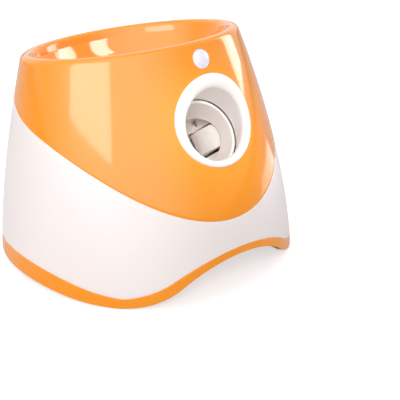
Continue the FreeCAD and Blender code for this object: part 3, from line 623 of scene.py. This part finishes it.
def makeBand():
    piece = makeStrip("baseBand", baseLine, hemLine, band["wall"], band["rows"])
    finishPiece(piece, "orange_gloss", "base_band")


funnel = dict(rows=40, wall=0.0022, floor=0.126, dropY=-0.002, hole=0.027, power=5.0,
              straight=0.33, gap=0.00005, edgeRound=0.0004, edgeReach=0.003)


def funnelRing(depth):
    # from the lip's oval at depth 0 to the round feed hole at depth 1
    straight = funnel["straight"]
    share = 1.0 - straight * depth - (1.0 - straight) * depth ** funnel["power"]
    halfX, halfY, midY = bodySizes(1.0, lipInset())
    across = funnel["hole"] + (halfX - funnel["hole"]) * share
    along = funnel["hole"] + (halfY - funnel["hole"]) * share
    middle = funnel["dropY"] + (midY - funnel["dropY"]) * share
    top = body["rimHeight"] - shell["lipDrop"] - funnel["gap"]
    slope = body["rimSlope"] * (1 - depth)
    level = funnel["floor"] + (top - funnel["floor"]) * (1 - depth) - slope * middle
    return Vector((0, middle, level)), across, along, slope


def makeFunnel():
    rings = [funnelRing(row / funnel["rows"]) for row in range(funnel["rows"] + 1)]
    piece = loftRings("hopperFunnel", rings, shell["columns"])
    faceAway(piece, lambda place: Vector((place.x * 2, place.y * 2, place.z)))  # faces the axis
    thicken(piece, funnel["wall"])
    roundEdges(piece, funnel["edgeRound"],
               lambda point: point.z < funnel["floor"] + funnel["edgeReach"])
    finishPiece(piece, "orange_gloss", "hopper_funnel")


# the bell mouth and the barrel behind it lean back by two different angles
bezel = dict(centre=(0, -0.096, 0.1389), angle=23.0, columns=160, wall=0.0016, cut=(-0.016, 0.03),
             radius=0.0368, throat=0.0282, drop=0.0032, crest=0.033, proud=0.0029, sink=0.0035,
             edge=0.0005, foot=-0.004, outerSteps=10, innerSteps=16, throatRows=12,
             barrelFront=(0, -0.0984, 0.1348), barrelAngle=36.0, barrelDepth=0.021,
             barrelEnd=0.0295)


def leaning(degrees):
    # the directions out of and up across a face that leans back
    angle = math.radians(degrees)
    out = Vector((0, -math.cos(angle), math.sin(angle)))
    return out, Vector((0, math.sin(angle), math.cos(angle)))


def bezelPoint(outward):
    out, up = leaning(bezel["angle"])
    return Vector(bezel["centre"]) + out * outward


def bezelProfile():
    # (radius, height over the skin) from the foot of the outer edge to the throat
    crest, proud = bezel["crest"], bezel["proud"]
    edge, sink = bezel["edge"], bezel["sink"]
    outer = arcPoints(crest, edge, bezel["radius"] - crest, proud - edge, 0, 90,
                      bezel["outerSteps"])
    inner = arcPoints(crest, -sink, crest - bezel["throat"], proud + sink, 90, 180,
                      bezel["innerSteps"])
    return [(bezel["radius"], bezel["foot"])] + outer + inner[1:]


def makeBezel():
    out, up = leaning(bezel["angle"])
    barrelOut, barrelUp = leaning(bezel["barrelAngle"])
    innerEnd = Vector(bezel["barrelFront"]) - barrelOut * bezel["barrelDepth"]
    profile = bezelProfile()

    def lipPlace(angle, radius, height):
        share = min(max((bezel["radius"] - radius) / (bezel["radius"] - bezel["throat"]), 0), 1)
        across = Vector((math.cos(angle), 0, 0)) + up * math.sin(angle)
        start = Vector(bezel["centre"]) + across * radius - up * bezel["drop"] * share
        return start + out * (skinAlong(start, out) + height)

    def place(turn, row):
        angle = 2 * math.pi * turn
        if row < len(profile):
            return lipPlace(angle, *profile[row])
        share = (row - len(profile) + 1) / bezel["throatRows"]
        lip = lipPlace(angle, *profile[-1])
        across = Vector((math.cos(angle), 0, 0)) + barrelUp * math.sin(angle)
        return lip.lerp(innerEnd + across * bezel["barrelEnd"], share)

    def axisAt(spot):
        centre = Vector(bezel["centre"])
        return centre + out * (spot - centre).dot(out)

    rows = len(profile) - 1 + bezel["throatRows"]
    piece = wrapStrip("outletBezel", bezel["columns"], rows, place)
    faceAway(piece, axisAt)
    thicken(piece, bezel["wall"])
    finishPiece(piece, "bezel_white", "outlet_bezel")


lens = dict(z=0.184, radius=0.0078, columns=64, dome=0.011, rise=0.0026, edge=0.0005, lip=0.0008,
            plug=0.004, rings=14, cut=(-0.012, 0.02), slopeReach=0.002)


def lensFrame():
    # where the lens sits on the front of the skin, and the direction out of it
    def frontOf(z):
        front = -math.pi / 2
        return bodyPoint(halve(0.0, 1.0, lambda height: bodyPoint(height, front).z < z), front)

    below = frontOf(lens["z"] - lens["slopeReach"])
    along = (frontOf(lens["z"] + lens["slopeReach"]) - below).normalized()
    return frontOf(lens["z"]), Vector((0, -along.z, along.y))


def lensPoint(outward):
    point, out = lensFrame()
    return point + out * outward


def makeLens():
    # a short plug whose front face is inset and raised, ring by ring, into a shallow dome
    point, out = lensFrame()
    deselectAll()
    bpy.ops.mesh.primitive_cylinder_add(vertices=lens["columns"], radius=lens["radius"],
                                        depth=lens["plug"], location=point - out * lens["plug"] / 2,
                                        rotation=out.to_track_quat("Z", "Y").to_euler())
    piece = bpy.context.object
    piece.name = "sensorLens"
    selectFaces(piece, lambda face: len(face.vertices) > 4 and face.center.z > 0)
    bpy.ops.mesh.inset(thickness=lens["lip"])
    edge = lens["radius"] - lens["lip"]
    heights = []
    for i in range(lens["rings"]):
        radius = edge * (1 - i / lens["rings"])
        heights.append(lens["rise"] - lens["dome"] + math.sqrt(lens["dome"] ** 2 - radius ** 2))
    for low, high in zip(heights, heights[1:]):
        bpy.ops.mesh.inset(thickness=edge / lens["rings"], depth=high - low)
    bpy.ops.object.mode_set(mode="OBJECT")
    rimAt = lens["radius"] * making["nearly"]
    roundEdges(piece, lens["edge"], lambda spot: spot.xy.length > rimAt and spot.z > 0)
    makeActive(piece)
    bpy.ops.object.transform_apply(location=True, rotation=True, scale=True)
    finishPiece(piece, "milky_lens", "sensor_lens")


wheel = dict(offset=0.0505, depth=0.060, radius=0.0285, width=0.020, bore=0.020, edge=0.0009,
             faces=120, grooveEvery=5, grooveDepth=0.0003, grooveLip=0.0005)


def makeTyre(side):
    # a drum with both ends inset and joined through, then a groove pressed in every few faces
    name = "left" if side < 0 else "right"
    out, up = leaning(bezel["barrelAngle"])
    centre = Vector(bezel["barrelFront"]) - out * wheel["depth"]
    centre = centre + Vector((side * wheel["offset"], 0, 0))
    deselectAll()
    bpy.ops.mesh.primitive_cylinder_add(vertices=wheel["faces"], radius=wheel["radius"],
                                        depth=wheel["width"], location=centre,
                                        rotation=up.to_track_quat("Z", "Y").to_euler())
    piece = bpy.context.object
    piece.name = "tread" + name.title()
    selectFaces(piece, lambda face: len(face.vertices) > 4)
    bpy.ops.mesh.inset(thickness=wheel["radius"] - wheel["bore"])
    bpy.ops.mesh.bridge_edge_loops()
    bpy.ops.object.mode_set(mode="OBJECT")
    treadAt = wheel["radius"] * making["nearly"]
    endAt = wheel["width"] / 2 * making["nearly"]
    roundEdges(piece, wheel["edge"],
               lambda spot: spot.xy.length > treadAt and abs(spot.z) > endAt)
    step = 2 * math.pi / wheel["faces"]

    def grooved(face):
        count = round(math.atan2(face.center.y, face.center.x) / step - 0.5)
        onTread = face.center.xy.length > treadAt and abs(face.center.z) < endAt / 2
        return onTread and count % wheel["grooveEvery"] == 0

    selectFaces(piece, grooved)
    bpy.ops.mesh.inset(thickness=wheel["grooveLip"], depth=-wheel["grooveDepth"],
                       use_individual=True)
    bpy.ops.object.mode_set(mode="OBJECT")
    makeActive(piece)
    bpy.ops.object.transform_apply(location=True, rotation=True, scale=True)
    finishPiece(piece, "tyre_white", "wheel_tyre_" + name, rideOn="wheel_" + name)


makeUpperShell()
makeSkirt()
makeBand()
makeFunnel()
makeBezel()
makeLens()
for wheelSide in (-1, 1):
    makeTyre(wheelSide)
print("pieces made")


# The lamps and spots light the object, and the glow panels only show in its gloss. Powers are in
# watts. Where a panel has an only, it shows in that piece alone.
studio = dict(
    floorSize=6, floorTint=0.62, floorGlow=0.62, fill=0.5, aim=(0, 0, 0.1),
    sheen=2.9, sheenFrom=(-0.72, -0.42, 0.55), sheenStart=0.25,
    lamps=[
        dict(name="frontLamp", place=(-0.8, -1.05, 1.0), size=(0.45, 0.45), power=8.6),
        dict(name="leftLamp", place=(-1.35, 0.2, 0.6), size=(0.8, 0.8), power=5.8),
        dict(name="rightLamp", place=(1.35, -0.25, 0.7), size=(0.7, 0.7), power=4.6),
        dict(name="backLamp", place=(0.3, 1.4, 0.8), size=(0.8, 0.8), power=4.0),
        dict(name="topLamp", place=(0.1, 0.3, 1.6), size=(1.2, 0.9), power=6.0),
    ],
    glows=[
        dict(name="leftBand", place=(-1.15, -0.2, 0.58), size=(0.85, 0.6), power=9.0),
        dict(name="rightBand", place=(1.18, -0.16, 0.46), size=(0.36, 0.58), power=4.2),
        dict(name="floorPatch", place=(0.46, -0.14, 0.005), size=(0.26, 0.26), power=0.4, up=True),
        dict(name="hopperSide", place=(1.0, -0.25, 0.75), size=(0.4, 0.5), power=8.0,
             only="hopperFunnel"),
        dict(name="hopperFront", place=(0.3, -0.64, 1.1), size=(0.36, 0.6), power=10.0,
             only="hopperFunnel"),
    ],
    spots=[
        dict(name="throatLeft", place=(-0.75, -1.2, 1.1), aim=(0.003, -0.09, 0.125), cone=4.6,
             power=44.0, softness=0.03),
        dict(name="throatRight", place=(0.45, -1.4, 0.62), aim=(0, -0.09, 0.132), cone=4.0,
             power=24.0, softness=0.03),
    ],
)


def makeFloor():
    # pale, and near white to the camera away from the shadow
    deselectAll()
    bpy.ops.mesh.primitive_plane_add(size=studio["floorSize"])
    floor = bpy.context.object
    floor.name = "floor"
    material = bpy.data.materials.new("floorPale")
    material.use_nodes = True
    tree = material.node_tree
    shader = tree.nodes["Principled BSDF"]
    tint = studio["floorTint"]
    shader.inputs["Base Color"].default_value = (tint, tint, tint, 1)
    shader.inputs["Roughness"].default_value = 0.9
    shader.inputs["Specular IOR Level"].default_value = 0.0
    shader.inputs["Emission Color"].default_value = (1, 1, 1, 1)
    path = tree.nodes.new("ShaderNodeLightPath")
    glow = tree.nodes.new("ShaderNodeMapRange")
    glow.inputs["To Min"].default_value = 0.0
    glow.inputs["To Max"].default_value = studio["floorGlow"]
    linkUp(tree, (path.outputs["Is Camera Ray"], glow.inputs["Value"]),
           (glow.outputs["Result"], shader.inputs["Emission Strength"]))
    floor.data.materials.append(material)


def makeWorld():
    # White to the camera, in gloss and through glass, and the fill level elsewhere. Gloss also
    # gets a sheen towards one upper corner.
    world = bpy.data.worlds.new("studio")
    world.use_nodes = True
    bpy.context.scene.world = world
    tree = world.node_tree
    background = tree.nodes["Background"]
    background.inputs["Color"].default_value = (1, 1, 1, 1)
    path = tree.nodes.new("ShaderNodeLightPath")
    seen = tree.nodes.new("ShaderNodeMath")
    seen.operation = "MAXIMUM"
    seenThrough = tree.nodes.new("ShaderNodeMath")
    seenThrough.operation = "MAXIMUM"
    level = tree.nodes.new("ShaderNodeMapRange")
    level.inputs["To Min"].default_value = studio["fill"]
    level.inputs["To Max"].default_value = 1.0
    place = tree.nodes.new("ShaderNodeTexCoord")
    toward = tree.nodes.new("ShaderNodeVectorMath")
    toward.operation = "DOT_PRODUCT"
    toward.inputs[1].default_value = studio["sheenFrom"]
    sheen = tree.nodes.new("ShaderNodeMapRange")
    sheen.interpolation_type = "SMOOTHSTEP"
    sheen.inputs["From Min"].default_value = studio["sheenStart"]
    sheen.inputs["To Max"].default_value = studio["sheen"]
    extra = tree.nodes.new("ShaderNodeMath")
    extra.operation = "MULTIPLY_ADD"
    linkUp(tree,
           (path.outputs["Is Camera Ray"], seen.inputs[0]),
           (path.outputs["Is Glossy Ray"], seen.inputs[1]),
           (seen.outputs["Value"], seenThrough.inputs[0]),
           (path.outputs["Is Transmission Ray"], seenThrough.inputs[1]),
           (seenThrough.outputs["Value"], level.inputs["Value"]),
           (place.outputs["Generated"], toward.inputs[0]),
           (toward.outputs["Value"], sheen.inputs["Value"]),
           (sheen.outputs["Result"], extra.inputs[0]),
           (path.outputs["Is Glossy Ray"], extra.inputs[1]),
           (level.outputs["Result"], extra.inputs[2]),
           (extra.outputs["Value"], background.inputs["Strength"]))


def makeLight(panel, glossOnly):
    data = bpy.data.lights.new(panel["name"], "AREA")
    data.shape = "RECTANGLE"
    data.size, data.size_y = panel["size"]
    data.energy = panel["power"]
    lamp = bpy.data.objects.new(panel["name"], data)
    bpy.context.collection.objects.link(lamp)
    lamp.location = panel["place"]
    toward = Vector((0, 0, 1)) if panel.get("up") else Vector(studio["aim"]) - lamp.location
    lamp.rotation_euler = toward.to_track_quat("-Z", "Y").to_euler()
    lamp.visible_camera = False
    lamp.visible_glossy = glossOnly
    lamp.visible_diffuse = not glossOnly
    if "only" in panel:
        lit = bpy.data.collections.new(panel["name"])
        lit.objects.link(bpy.data.objects[panel["only"]])
        lamp.light_linking.receiver_collection = lit


def makeSpot(values):
    # a snooted lamp that reaches into the outlet
    data = bpy.data.lights.new(values["name"], "SPOT")
    data.energy = values["power"]
    data.spot_size = math.radians(values["cone"])
    data.spot_blend = 1.0
    data.shadow_soft_size = values["softness"]
    spot = bpy.data.objects.new(values["name"], data)
    bpy.context.collection.objects.link(spot)
    spot.location = values["place"]
    toward = Vector(values["aim"]) - spot.location
    spot.rotation_euler = toward.to_track_quat("-Z", "Y").to_euler()
    spot.visible_camera = False
    spot.visible_glossy = False


makeFloor()
makeWorld()
for lampValues in studio["lamps"]:
    makeLight(lampValues, False)
for glowValues in studio["glows"]:
    makeLight(glowValues, True)
for spotValues in studio["spots"]:
    makeSpot(spotValues)
bpy.context.scene.view_settings.view_transform = "Standard"
print("studio lit")
